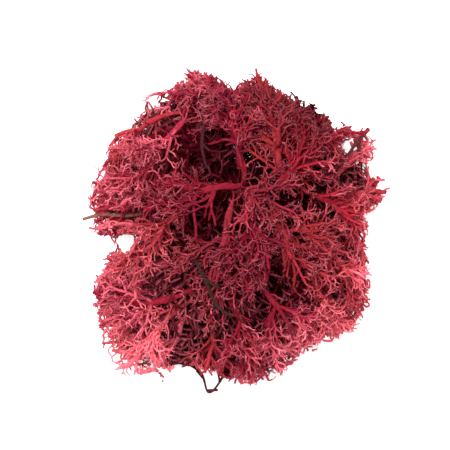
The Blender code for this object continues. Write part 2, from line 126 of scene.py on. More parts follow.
SPRAYS = tuple(Spray(*row) for row in (
    ("left_upper_fan", "coral", (-12, 39, 27), (-32, 32, 25), (-42, 14, 17), 13, 3, 4.5),
    ("left_inner_spray", "crimson", (-16, 35, 33), (-24, 26, 33), (-30, 13, 28), 13, 3, 0),
    ("left_far_tuft", "crimson", (-22, 8, 29), (-33, 7, 26), (-42, 3, 17), 12, 3, 0),
    ("top_left_tuft", "rose", (-11, 33, 28), (-13, 41, 26), (-10, 49, 19), 11, 3, 0),
    ("top_cap", "crimson", (9, 36, 36), (1, 42, 34), (-8, 42, 27), 12, 3, 0),
    ("top_right_tuft", "rose", (9, 36, 28), (8, 42, 25), (6, 47, 18), 10, 2, 0),
    ("upper_right_band", "coral", (16, 15, 39), (13, 28, 39), (10, 39, 32), 12, 3, 0),
    ("burgundy_tuft", "burgundy", (14, 30, 31), (19, 36, 28), (25, 40, 22), 12, 2, 4.5),
    ("right_upper_spray", "scarlet", (19, 16, 36), (26, 24, 33), (33, 29, 25), 13, 3, 4.0),
    ("right_tuft", "rose", (32, 17, 27), (37, 25, 25), (39, 32, 18), 11, 2, 0),
    ("right_far_tuft", "coral", (32, 10, 27), (40, 12, 23), (46, 14, 16), 11, 2, 0),
    ("right_middle_spray", "scarlet", (22, 13, 36), (31, 8, 33), (38, -1, 23), 13, 3, 4.5),
    ("right_lower_fan", "scarlet", (23, 5, 37), (32, -9, 32), (39, -21, 19), 13, 3, 4.5),
    ("right_corner_fan", "coral", (21, -9, 34), (28, -19, 28), (34, -30, 16), 13, 3, 4.5),
    ("bottom_right_fan", "crimson", (5, -14, 36), (14, -24, 32), (22, -37, 18), 13, 3, 4.5),
    ("bottom_centre_spray", "crimson", (-3, -19, 35), (2, -29, 31), (10, -41, 19), 13, 3, 4),
    ("bottom_middle_fan", "coral", (-9, -23, 32), (-6, -37, 26), (2, -46, 14), 13, 3, 4.0),
    ("bottom_left_fan", "coral", (-14, -22, 34), (-25, -30, 28), (-35, -41, 15), 13, 3, 4.5),
    ("bottom_left_tuft", "rose", (-16, -28, 31), (-20, -36, 24), (-26, -46, 13), 12, 2, 4.0),
    ("left_lower_spray", "crimson", (-12, -17, 36), (-27, -22, 32), (-42, -23, 18), 13, 3, 0),
    ("left_middle_spray", "rose", (-17, -9, 36), (-28, -12, 32), (-39, -13, 20), 13, 3, 4.0),
    ("coral_spray", "coral", (-17, 7, 39), (-22, 2, 38), (-29, -5, 32), 12, 3, 0),
    ("centre_flat_spray", "crimson", (2, 14, 44), (-8, 14, 44), (-19, 10, 39), 12, 3, 0),
    ("centre_low_spray", "rose", (-1, 10, 44), (-4, -3, 43), (-7, -15, 39), 13, 3, 0),
    ("centre_star_spray", "crimson", (2, 8, 42), (5, 0, 41), (2, -10, 37), 12, 3, 0),
    ("centre_right_spray", "coral", (10, 5, 42), (16, -1, 40), (21, -6, 36), 12, 3, 0),
    ("centre_top_spray", "crimson", (3, 15, 42), (2, 24, 41), (0, 35, 37), 12, 2, 0),
    ("centre_bough_spray", "scarlet", (9, 12, 42), (16, 20, 40), (21, 28, 35), 12, 3, 0),
    ("centre_knot_spray", "rose", (0, 12, 35), (3, 13, 40), (6, 11, 44), 12, 2, 0),
    ("hollow_left_spray", "burgundy", (-3, 21, 27), (-8, 26, 28), (-15, 26, 28), 12, 2, 0),
    ("hollow_centre_spray", "burgundy", (-4, 9, 30), (-9, 4, 29), (-10, -6, 28), 12, 2, 0),
    ("hollow_right_spray", "burgundy", (10, -9, 30), (16, -12, 29), (22, -15, 27), 12, 2, 0),
    ("under_top_spray", "burgundy", (0, 14, 20), (3, 26, 14), (5, 37, 6), 13, 2, 6.0),
    ("under_right_spray", "burgundy", (9, 4, 20), (21, 4, 14), (32, 6, 6), 13, 2, 6.0),
    ("under_right_low_spray", "burgundy", (7, -7, 19), (15, -17, 13), (24, -27, 6), 13, 2, 6),
    ("under_bottom_spray", "burgundy", (-2, -9, 19), (-3, -21, 13), (-6, -33, 6), 13, 2, 6.0),
    ("under_left_spray", "burgundy", (-8, -2, 19), (-19, -7, 13), (-31, -12, 6), 13, 2, 6.0),
    ("under_left_top_spray", "burgundy", (-8, 9, 20), (-19, 17, 14), (-29, 24, 6), 13, 2, 6.0),
    ("under_right_top_spray", "burgundy", (8, 11, 20), (17, 19, 14), (25, 27, 7), 12, 2, 0),
    ("under_centre_spray", "burgundy", (0, 3, 23), (1, 2, 15), (2, -1, 5.5), 12, 2, 5.5),
))

STEMS = tuple(Stem(*row) for row in (
    ("left_stem", "brown", ((-49, 4, 15), (-43, 5.5, 18), (-35, 5, 22), (-27, 6, 26)),
     (0.7, 0.8, 0.7, 0.5), 2),
    ("right_stem", "dark", ((43, 33, 27), (39, 28.5, 29), (34, 22, 31), (27, 17, 29)),
     (1.4, 1.1, 0.8, 0.6), 2),
    ("bottom_stem", "dark", ((-20, -42, 5), (-10, -46, 5), (-4.5, -52, 5), (-1, -47, 6),
                             (1, -40, 8)), (0.7, 0.7, 0.6, 0.7, 0.6), 4),
    ("blade_stem", "dark", ((-38, -19, 25), (-31, -20.5, 28), (-25, -22, 30)),
     (0.5, 1.0, 0.6), 1),
    ("bark_stem", "grey", ((-13, -8, 43), (-9, -16, 43), (-6, -23, 41), (-1, -27, 38)),
     (0.6, 0.8, 0.7, 0.5), 2),
    ("top_stem", "dark", ((-11, 44, 31), (-10, 35, 34), (-10.5, 27, 36), (-9, 20, 37)),
     (0.6, 0.7, 0.7, 0.5), 2),
))


class Limb:
    """A tapering three-cornered limb: its places, radii and first corner's direction."""

    def __init__(self, order, points, radii, side):
        self.order = order
        self.points = points
        self.radii = radii
        self.side = side

    def way(self, index):
        """The direction of travel on reaching a place along the limb."""
        index = max(index, 1)
        return (self.points[index] - self.points[index - 1]).normalized()

    def corner(self, index):
        """The first corner's direction, square to the way at that place."""
        way = self.way(index)
        return (self.side - way * self.side.dot(way)).normalized()


class Thicket:
    """All that has grown, and the tests that keep one spray clear of the rest."""

    def __init__(self):
        self.starts = np.zeros((MOST_LENGTHS, 3))
        self.ends = np.zeros((MOST_LENGTHS, 3))
        self.radii = np.zeros(MOST_LENGTHS)
        self.owners = np.zeros(MOST_LENGTHS, dtype=int)
        self.count = 0

    def add(self, owner, limb):
        for index in range(1, len(limb.points)):
            self.add_length(owner, limb.points[index - 1], limb.points[index],
                            max(limb.radii[index - 1], limb.radii[index]))

    def add_length(self, owner, start, end, radius):
        row = self.count
        self.starts[row], self.ends[row] = start, end
        self.radii[row], self.owners[row] = radius, owner
        self.count += 1

    def distances(self, start, end, rows):
        """Shortest distances from a line to each line of the rows, and where."""
        a, b = np.array(start), np.array(end)
        p, q = self.starts[rows], self.ends[rows]
        ours, theirs, between = b - a, q - p, a - p
        aa = max(ours @ ours, TINY)
        tt = np.maximum((theirs * theirs).sum(1), TINY)
        at = theirs @ ours
        ab = between @ ours
        tb = (theirs * between).sum(1)
        spread = aa * tt - at * at
        s = np.where(spread > TINY, (at * tb - ab * tt) / np.maximum(spread, TINY), 0.0)
        s = np.clip(s, 0.0, 1.0)
        t = np.clip((at * s + tb) / tt, 0.0, 1.0)
        s = np.clip((at * t - ab) / aa, 0.0, 1.0)
        near = a + s[:, None] * ours
        far = p + t[:, None] * theirs
        return np.linalg.norm(near - far, axis=1), near, far

    def room(self, owner, start, end, radius):
        """The gap left between a new length and everything of the other sprays."""
        rows = np.nonzero(self.owners[:self.count] != owner)[0]
        if not len(rows):
            return math.inf
        apart = self.distances(start, end, rows)[0]
        return float((apart - self.radii[rows]).min()) - radius

    def loneliness(self, end):
        """How far a new tip would stand from every tip there is."""
        tips = self.ends[:self.count]
        return float(np.linalg.norm(tips - np.array(end), axis=1).min())


def reach(point):
    """How far the clump reaches from its middle, towards a place."""
    turn = math.degrees(math.atan2(point.y, point.x)) % 360 / REACH_STEP
    first = int(turn) % len(CLUMP_REACH)
    second = (first + 1) % len(CLUMP_REACH)
    share = turn - int(turn)
    return CLUMP_REACH[first] * (1 - share) + CLUMP_REACH[second] * share


def inside(point, radius):
    """Whether a tip stays above the surface and within the clump's outline."""
    if point.z < radius + SURFACE_GAP or point.z > CLUMP_HEIGHT:
        return False
    for x, y, size in BARE_SPOTS:
        if math.hypot(point.x - x, point.y - y) < size:
            return False
    return math.hypot(point.x, point.y) < reach(point)


def arc(foot, middle, tip, count):
    """Places along the curve that passes through three."""
    pull = 2 * middle - (foot + tip) / 2
    places = []
    for step in range(count + 1):
        share = step / count
        places.append((1 - share) ** 2 * foot + 2 * share * (1 - share) * pull
                      + share * share * tip)
    return places


def nudge(size, dice):
    return Vector([dice.uniform(-size, size) for _ in range(3)])


def side_of(points, dice):
    """Where a limb's first corner points, at a random turn round its way."""
    way = points[1] - points[0]
    return Quaternion(way, dice.uniform(0, math.tau)) @ way.orthogonal().normalized()


def grow_stalk(thicket, owner, spray, dice):
    """A gently kinked stalk, moved a little until it clears the others."""
    foot, middle, tip = Vector(spray.foot), Vector(spray.middle), Vector(spray.tip)
    radii = [STALK_RADIUS + (STALK_TIP_RADIUS - STALK_RADIUS) * step / STALK_STEPS
             for step in range(STALK_STEPS + 1)]
    best, best_room = None, -math.inf
    for attempt in range(STALK_TRIES):
        play = STALK_PLAY + attempt * STALK_PLAY_GROWTH
        places = arc(foot + nudge(play, dice), middle + nudge(play, dice),
                     tip + nudge(play, dice), STALK_STEPS)
        for place in places[1:-1]:
            place += nudge(STALK_KINK, dice)
        room = min(thicket.room(owner, places[step], places[step + 1], radii[step])
                   for step in range(STALK_STEPS))
        if room > best_room:
            best, best_room = places, room
        if room > GAP:
            break
    stalk = Limb(0, best, radii, side_of(best, dice))
    thicket.add(owner, stalk)
    return stalk


def try_path(thicket, owner, origin, heading, length, radii, bend):
    """A limb's places if it stays inside the clump and clear of the others."""
    places = [origin]
    steps = len(radii) - 1
    for step in range(steps):
        end = places[-1] + heading * (length / steps)
        if not inside(end, radii[step + 1]):
            return None
        if thicket.room(owner, places[-1], end, max(radii[step:step + 2])) < GAP:
            return None
        places.append(end)
        heading = (heading + bend).normalized()
    return places


def fork(thicket, owner, parent, index, used, length, radii, outward, dice):
    """The best of several limbs from a place along a parent, out through a free face."""
    way, corner = parent.way(index), parent.corner(index)
    origin = parent.points[index] - way * (SETBACK + SETBACK_STEP * len(used))
    bend = (way * (1 - BEND_OUT) + outward * BEND_OUT) * BEND_BACK
    best, best_score, best_face = None, -math.inf, None
    for attempt in range(FORK_TRIES):
        face = attempt % 3
        if face in used:
            continue
        turn = math.radians(60 + 120 * face + dice.uniform(-FACE_PLAY, FACE_PLAY))
        lean = math.radians(dice.uniform(LEAN_LEAST, LEAN_MOST))
        out = Quaternion(way, turn) @ corner
        heading = (way * math.cos(lean) + out * math.sin(lean)).normalized()
        size = length * dice.uniform(*SIZE_PLAY)
        size *= 1.0 if attempt < FULL_TRIES else SHORT_SHARE
        places = try_path(thicket, owner, origin, heading, size, radii, bend)
        if not places:
            continue
        score = thicket.loneliness(places[-1])
        score += OUTWARD_WEIGHT * heading.dot(outward) * size
        if score > best_score:
            best, best_score, best_face = places, score, face
    if best is None:
        return None
    used.add(best_face)
    limb = Limb(parent.order + 1, best, radii, side_of(best, dice))
    thicket.add(owner, limb)
    return limb


def branch(thicket, owner, limbs, spray, order, dice):
    """Grow the next order of limbs from every limb of the last one."""
    rule = RULES[order]
    outward = (Vector(spray.tip) - Vector(spray.middle)).normalized()
    for parent in [limb for limb in limbs if limb.order == order - 1]:
        last = len(parent.points) - 1
        first = last - spray.forks + 1 if order == 1 else 1
        for index in range(last, first - 1, -1):
            used = set()
            radii = (parent.radii[index] * ROOT_SHARE, *rule.radii)
            for _ in range(rule.last_fork if index == last else rule.each_fork):
                limb = fork(thicket, owner, parent, index, used,
                            spray.reach * rule.share, radii, outward, dice)
                if limb:
                    limbs.append(limb)


def branch_stem(thicket, owner, limbs, stem, dice):
    """A few short twigs on a loose stem."""
    trunk = limbs[0]
    for count in range(stem.twigs):
        index = 1 + count % (len(trunk.points) - 1)
        radii = (trunk.radii[index] * ROOT_SHARE, TWIG_TIP_RADIUS)
        twig = fork(thicket, owner, trunk, index, set(), STEM_TWIG, radii,
                    trunk.way(index), dice)
        if twig:
            limbs.append(twig)


def keep_core_room(thicket, owner, spray, stalk):
    """Keep the other sprays clear of where a spray's solid has its core."""
    low = stalk.points[CORE_STEP].copy()
    high = stalk.points[CORE_STEP + 1].copy()
    if spray.tip[2] <= spray.core:
        low.z = high.z = spray.core * CORE_REST
    radius = min(spray.core, thicket.room(owner, low, high, 0.0) - GAP)
    if radius >= CORE_LEAST:
        thicket.add_length(owner, low, high, radius)


def nearest_pairs(thicket, number):
    """For every two owners, the least gap between them, its two places and lengths."""
    pairs = {}
    rows = np.nonzero(thicket.radii[:thicket.count] < CORE_LEAST)[0]
    for row in rows:
        owner = thicket.owners[row]
        apart, near, far = thicket.distances(thicket.starts[row], thicket.ends[row], rows)
        apart = apart - thicket.radii[row] - thicket.radii[rows]
        for other in range(owner + 1, number):
            theirs = np.nonzero(thicket.owners[rows] == other)[0]
            best = theirs[np.argmin(apart[theirs])]
            if (owner, other) not in pairs or apart[best] < pairs[owner, other][0]:
                pairs[owner, other] = (float(apart[best]), Vector(near[best]),
                                       Vector(far[best]), row, rows[best])
    return pairs


def lean_together(thicket, limbs, names):
    """Join all the sprays in a chain of nearest neighbours, by short leaning twigs."""
    pairs = nearest_pairs(thicket, len(names))
    group = list(range(len(names)))
    for (first, second), found in sorted(pairs.items(), key=lambda item: item[1][0]):
        if group[first] == group[second]:
            continue
        _, near, far, our_row, their_row = found
        heading = (far - near).normalized()
        way = Vector(thicket.ends[their_row] - thicket.starts[their_row]).normalized()
        surface = thicket.radii[their_row] * math.sqrt(1 - min(way.dot(heading) ** 2, 1))
        limbs[names[first]].append(Limb(
            2, [near, far - heading * (surface + GAP)],
            (thicket.radii[our_row] * ROOT_SHARE, LEANING_TIP_RADIUS),
            heading.orthogonal().normalized()))
        gone, kept = group[first], group[second]
        group = [kept if number == gone else number for number in group]


def grow_clump():
    """Every spray's and stem's limbs by name, the same at each run."""
    dice = random.Random(GROWTH_SEED)
    thicket = Thicket()
    names = [row.name for row in STEMS + SPRAYS]
    owner = {name: number for number, name in enumerate(names)}
    limbs = {}
    for stem in STEMS:
        points = [Vector(place) for place in stem.places]
        limbs[stem.name] = [Limb(0, points, stem.radii, side_of(points, dice))]
        thicket.add(owner[stem.name], limbs[stem.name][0])
    for spray in SPRAYS:
        limbs[spray.name] = [grow_stalk(thicket, owner[spray.name], spray, dice)]
    for spray in SPRAYS:
        if spray.core:
            keep_core_room(thicket, owner[spray.name], spray, limbs[spray.name][0])
    for spray in SPRAYS:
        branch(thicket, owner[spray.name], limbs[spray.name], spray, 1, dice)
    for stem in STEMS:
        branch_stem(thicket, owner[stem.name], limbs[stem.name], stem, dice)
    for spray in SPRAYS:
        branch(thicket, owner[spray.name], limbs[spray.name], spray, 2, dice)
    lean_together(thicket, limbs, names)
    return limbs


# The lace of finer forks.  One row for each generation: how many forks, how far
# they lean from their parent's way, their length and radii, the least distance
# between their tips, and the sides and spans of each one's tube
Lace = namedtuple("Lace", "forks lean length radii apart sides spans")
LACE = (
    Lace(3, (30, 62), (1.9, 3.1), (0.34, 0.27), 1.6, 4, 2),
    Lace(2, (24, 58), (1.3, 2.2), (0.27, 0.23), 1.12, 4, 2),
    Lace(2, (22, 56), (0.9, 1.6), (0.23, 0.18), 0.84, 3, 1),
)
FILLING = (
    Lace(3, (20, 65), (4.0, 7.0), (0.60, 0.54), 3.2, 3, 2),
    Lace(3, (20, 65), (4.0, 7.0), (0.58, 0.50), 2.8, 3, 2),
    Lace(3, (20, 65), (3.5, 6.0), (0.54, 0.44), 2.9, 3, 2),
    Lace(3, (25, 60), (2.6, 4.2), (0.46, 0.34), 2.8, 3, 1),
)

# How a fork is shaped: the usual radius of the finest, the play in thickness, its
# thinner middle, its flatness and uneven surface, the play in its turn, how far its
# outer half bends on along its parent's way, aside and up, and its sunk root
FINE_RADIUS = 0.27
THICK_PLAY = (0.85, 1.15)
WAIST = 0.9
LACE_FLATNESS = (1.0, 1.25)
LACE_UNEVEN = 0.08
TURN_PLAY = 0.4
BEND_ON = 0.45
BEND_ASIDE = 0.65
LIFT = (0, 0, 0.12)
SUNK_ROOT = 0.12

# A direction that hardly any twig follows, and what keeps an upright tube's sides
# from having no direction
ODD_WAY = (0.31, 0.17, 0.93)
NUDGE = 1e-4

# The pointed tips on the last forks
PRONG_FORKS = 3
PRONG_LEAN = (20, 54)
PRONG_LENGTH = (0.7, 1.3)
PRONG_RADIUS = 0.17
PRONG_SUNK = 0.1

# The tubes of stalks, limbs and twigs, by their order: the spans between two of
# their solid's places, also where they are deep inside, their sway, flatness,
# sides and the age at their start
Shape = namedtuple("Shape", "spans deep_spans sway flatness sides age")
SHAPES = (
    Shape(6, 4, 0.9, (1.0, 1.5), 9, 0.0),
    Shape(5, 3, 0.8, (1.0, 1.35), 7, 0.18),
    Shape(4, 2, 0.5, (1.0, 1.2), 6, 0.34),
)

# How they sway and swell along their length, and how their two ends bulge
WAVES = (5.0, 9.0, 14.0)
LIMB_SWELL = ((0, 0.1, 1), (1.5, 1.2, 0.95))
STALK_SWELL = ((0, 0.12, 0.3, 1), (0.4, 0.7, 0.9, 0.8))
STALK_KNOBS = 0.16
KNOB_TURNS = 17
KNOB_START = 6
LIMB_UNEVEN = 0.07
TIP_BULGE = 0.6
ROOT_BULGE = 0.3
LEAST_PLACES = 3

# Where forks start on a limb: how far apart, from what share of its length and up
# to how near its end
SIDE_STEP = 1.6
STALK_STEP_SHARE = 1.5
SIDE_LEAN = (42, 72)
BARE_SHARE = 0.2
END_SPACE = 0.3
GOLDEN_TURN = math.radians(137.5)

# Long thin strands beside the limbs of each order, more of them deep inside: where
# they start along the limb, how far they part from it, and their steps
RUNNERS = {0: 5, 1: 3}
DEEP_RUNNERS = {0: 9, 1: 4}
RUNNER_START = (0.1, 0.8)
RUNNER_SPREAD = (0.25, 0.9)
RUNNER_STEPS = 3
RUNNER_WAVE = 0.2
RUNNER_LENGTH = (7, 13)
RUNNER_RADII = (0.42, 0.46, 0.42, 0.36)

# Where the lace may grow: its reach every 7.5 degrees, how far its last tips pass
# that, its top and floor, and the space that is parted into boxes
LACE_REACH = (41.5, 41.5, 52.5, 48.5, 53, 54, 45.5, 46.5, 47, 47, 47.5, 53,
              45.5, 49, 55, 50, 52, 52, 48.5, 49, 48, 48, 49, 46.5,
              45.5, 40, 43, 49.5, 51, 54.5, 58.5, 59.5, 51, 47.5, 45.5, 45.5,
              49, 49, 49, 47, 43, 44.5, 48, 50, 49.5, 46.5, 44, 42)
MARGIN = 0.5
PRONG_MARGIN = 1.2
LACE_TOP = 46.8
LACE_FLOOR = 0.25
SPACE_LOW = (-65.0, -65.0, -4.0)
SPACE_SIZE = (130, 130, 56)

# The clump's rounded top, how far under it the filling starts, the dark hollows by
# place from above and size, and how the bare spots widen for the filling
DOME_POWER = 2.6
DOME_LEAST = 0.04
FILLING_DEPTH = 6.0
HOLLOWS = ((-6, 26, 6.5), (-9, 4, 6.0), (16, -13, 6.5), (-8, -38, 4.0))
HOLLOW_DEPTH = 9.0
FILLING_SPOTS = 1.4
LACE_SPOTS = 0.85

# The pattern of small gaps: the share and size of its two parts, and how far down
# the pattern fills, which is less and less at the rim
OPENINGS = ((0.6, 7.3), (0.4, 7.3 * 0.47))
OPENINGS_SUM = 1.5
OPEN_LEAST = -0.42
RIM = 8.0
RIM_MOST = 1.3
RIM_OPEN = 0.46

# Loose stems: how thin they are against their solids, how far each of their places
# is moved, and the room that the lace leaves above them
STEM_SHARE = 0.62
STEM_SHARES = {"right_stem": 0.42}
STEM_MOVES = {
    "left_stem": ((-0.5, 0, 2), (0, 0, 5), (0, 0, 6), (0, 0, 3)),
    "bottom_stem": ((0, 0.5, 3), (-1.5, -0.5, 2), (-4.2, -1.5, 0), (-3.4, -2.0, 0),
                    (-2, 0, 0)),
}
CLEAR_STEMS = ("left_stem", "blade_stem", "bark_stem", "bottom_stem")
CLEAR_SHARES = (0.1, 0.3, 0.5, 0.7, 0.9)
STEM_CLEAR = 1.5
STEM_COVER = 1.0

# Ages run from 0 at a stalk's foot to 1 at a pointed tip, and tones from dark to bright,
# raised towards the rim as painted light, with patches of their own by place from above, size
# and shift, and the depth under the top over which painted shade darkens
AGE_ALONG = 0.2
AGE_GROWTH = 0.17
FOOT_AGE = 0.3
SPRAY_TONE = 0.5
LIMB_TONE = 0.5
LACE_TONE = 0.25
RIM_PAINTED_LIGHT = 1.5
RIM_PAINTED_LIGHT_START = 0.62
TONE_BASE = 1.6
MOST_TONE = 1.9
PAINTED_SHADE_RANGE = 30.0
TONE_PATCHES = ((9, 45, 8, -1.1), (26, 42, 10, -2.3), (21, 28, 13, -1.1),
                (-26, -43, 11, 0.6), (27, -40, 10, 0.9), (-12, 25, 8, -0.5),
                (-2, -42, 9, -0.6), (-2, 50, 12, -0.4), (44, -13, 10, 0.8),
                (-27, -25, 10, 0.6), (10, 10, 8, -0.9), (0, -24, 12, 0.3))

# Looks.  A speckle is a noise's scale and detail, and what its range becomes, and a
# tint is what multiplies and what is added to a base colour
Speckle = namedtuple("Speckle", "scale detail low high to_low to_high")
ROSY = Speckle(140, 3, 0.42, 0.66, 0, 0.75)
WARM = Speckle(90, 2, 0.50, 0.72, 0, 0.55)
GRAIN = Speckle(1300, 3, 0.3, 0.7, 0.62, 1.28)
ROSY_TINT = ((1, 1.3, 1.4), (0, 0.0015, 0.002))
WARM_TINT = ((1.15, 1.6, 1.1), (0, 0.002, 0))

# The colours that never pale or pale little, from what age the others pale, how far the
# brightest tones pale, partly as painted light at the rim, between which depths painted shade
# darkens them and how far, and their fine bumps and faint shine
WOODY = ("dark", "brown", "grey")
# Burgundy pales little: it is the real colour of one tuft, and on the hollow and under sprays
# its dark stands partly as painted shade
SHADED = "burgundy"
SHADED_PALENESS = 0.3
PALE_FROM = 0.55
MOST_BRIGHT_PALING = 0.5
PAINTED_SHADE_FROM = 0.10
PAINTED_SHADE_TO = 0.55
PAINTED_SHADE_SHARE = 0.75
BUMP_SCALE = 3200
BUMP_DETAIL = 3
BUMP_STRENGTH = 0.45
BUMP_HEIGHT = 0.0001
SHEEN_ROUGHNESS = 0.5
SHINE = 0.01

# The stage, in metres
FLOOR_SIZE = 6
FLOOR_ROUGHNESS = 0.9
FLOOR_GLOW = 0.65
LAMP_SIZE = 0.5
LAMP_PLACE = (-0.16, 0.22, 0.80)
SENSOR_WIDTH = 36
FRAME_HEIGHT = 0.03

INNER_GROUPS = ("centre", "hollow", "under")
GROUPS = {group: [row for row in SPRAYS if row.name.startswith(group)]
          for group in INNER_GROUPS}
GROUPS["outer"] = [row for row in SPRAYS if not row.name.startswith(INNER_GROUPS)]

Twigs = namedtuple("Twigs", "places ways owners ages tones")


def unit(rows):
    """Each row at a length of one."""
    return rows / np.maximum(np.linalg.norm(rows, axis=-1, keepdims=True), TINY)


def square_to(ways, dice):
    """For each direction, one that is square to it, at random."""
    other = unit(dice.normal(size=ways.shape))
    return unit(other - (other * ways).sum(-1, keepdims=True) * ways)


def leaning(ways, turns, lean):
    """Directions that lean from the ways, by degrees, at a turn round each way."""
    first = unit(np.cross(ways, ODD_WAY))
    second = np.cross(ways, first)
    out = first * np.cos(turns)[:, None] + second * np.sin(turns)[:, None]
    lean = np.radians(lean)[:, None]
    return unit(ways * np.cos(lean) + out * np.sin(lean))


def reach_at(x, y, reaches=CLUMP_REACH):
    """How far the clump or its lace reaches from the middle, towards each place."""
    turn = np.degrees(np.arctan2(y, x)) % 360
    steps = np.arange(len(reaches) + 1) * (360 / len(reaches))
    return np.interp(turn, steps, reaches + reaches[:1])


def dome(places):
    """The height of the clump's rounded top over each place."""
    x, y = places[:, 0], places[:, 1]
    share = np.hypot(x, y) / reach_at(x, y)
    return CLUMP_HEIGHT * np.sqrt(np.clip(1 - share ** DOME_POWER, DOME_LEAST, 1))


def within(places, margin, spots=1.0):
    """Which places are inside the clump and outside its bare spots."""
    x, y, z = places.T
    good = (z > LACE_FLOOR) & (z < LACE_TOP)
    good &= np.hypot(x, y) < reach_at(x, y, LACE_REACH) + margin
    for spot_x, spot_y, size in BARE_SPOTS:
        good &= np.hypot(x - spot_x, y - spot_y) > size * spots
    return good


def moved(stem, points):
    """Places of a loose stem or its twig, carried as its nearest knot is moved."""
    knots = np.array(stem.places, dtype=float)
    moves = np.array(STEM_MOVES.get(stem.name, np.zeros(knots.shape)))
    places = np.array([point[:] for point in points], dtype=float)
    if len(points) < len(knots):
        nearest = np.argmin(np.linalg.norm(knots - places[0], axis=1))
        return places + moves[nearest]
    return places + moves


def off_stems(places):
    """Which places don't hide a loose stem from above."""
    good = np.ones(len(places), dtype=bool)
    for stem in STEMS:
        if stem.name not in CLEAR_STEMS:
            continue
        line = moved(stem, stem.places)
        for start, end in zip(line, line[1:]):
            for share in CLEAR_SHARES:
                x, y, z = start + (end - start) * share
                near = np.hypot(places[:, 0] - x, places[:, 1] - y) < STEM_CLEAR
                good &= ~(near & (places[:, 2] > z - STEM_COVER))
    return good


def openness(places, phase):
    """A pattern of fuller and emptier places, from about -1 to 1."""
    total = 0
    for share, size in OPENINGS:
        x, y, z = (places / size * math.tau + phase).T
        total = total + share * (np.sin(x) * np.cos(y) + np.sin(y) * np.cos(z)
                                 + np.sin(z) * np.cos(x))
    return total / OPENINGS_SUM


def uncrowded(places, deep, phase):
    """Which places the lace may fill: less at the rim and none over a hollow."""
    x, y, z = places.T
    rim = np.clip(1 - (reach_at(x, y) - np.hypot(x, y)) / RIM, 0, RIM_MOST)
    below = dome(places) - z
    if deep:
        return below > FILLING_DEPTH
    good = (openness(places, phase) > OPEN_LEAST + RIM_OPEN * rim) & off_stems(places)
    for spot_x, spot_y, size in HOLLOWS:
        good &= (np.hypot(x - spot_x, y - spot_y) > size) | (below > HOLLOW_DEPTH)
    return good


def claim(places, size):
    """The numbers of the places that are the first to fall in their box of space."""
    shape = tuple(int(side / size) + 2 for side in SPACE_SIZE)
    cells = ((places - np.array(SPACE_LOW)) / size).astype(int)
    cells = np.clip(cells, 0, np.array(shape) - 1)
    first = np.unique(np.ravel_multi_index(cells.T, shape), return_index=True)[1]
    return np.sort(first)


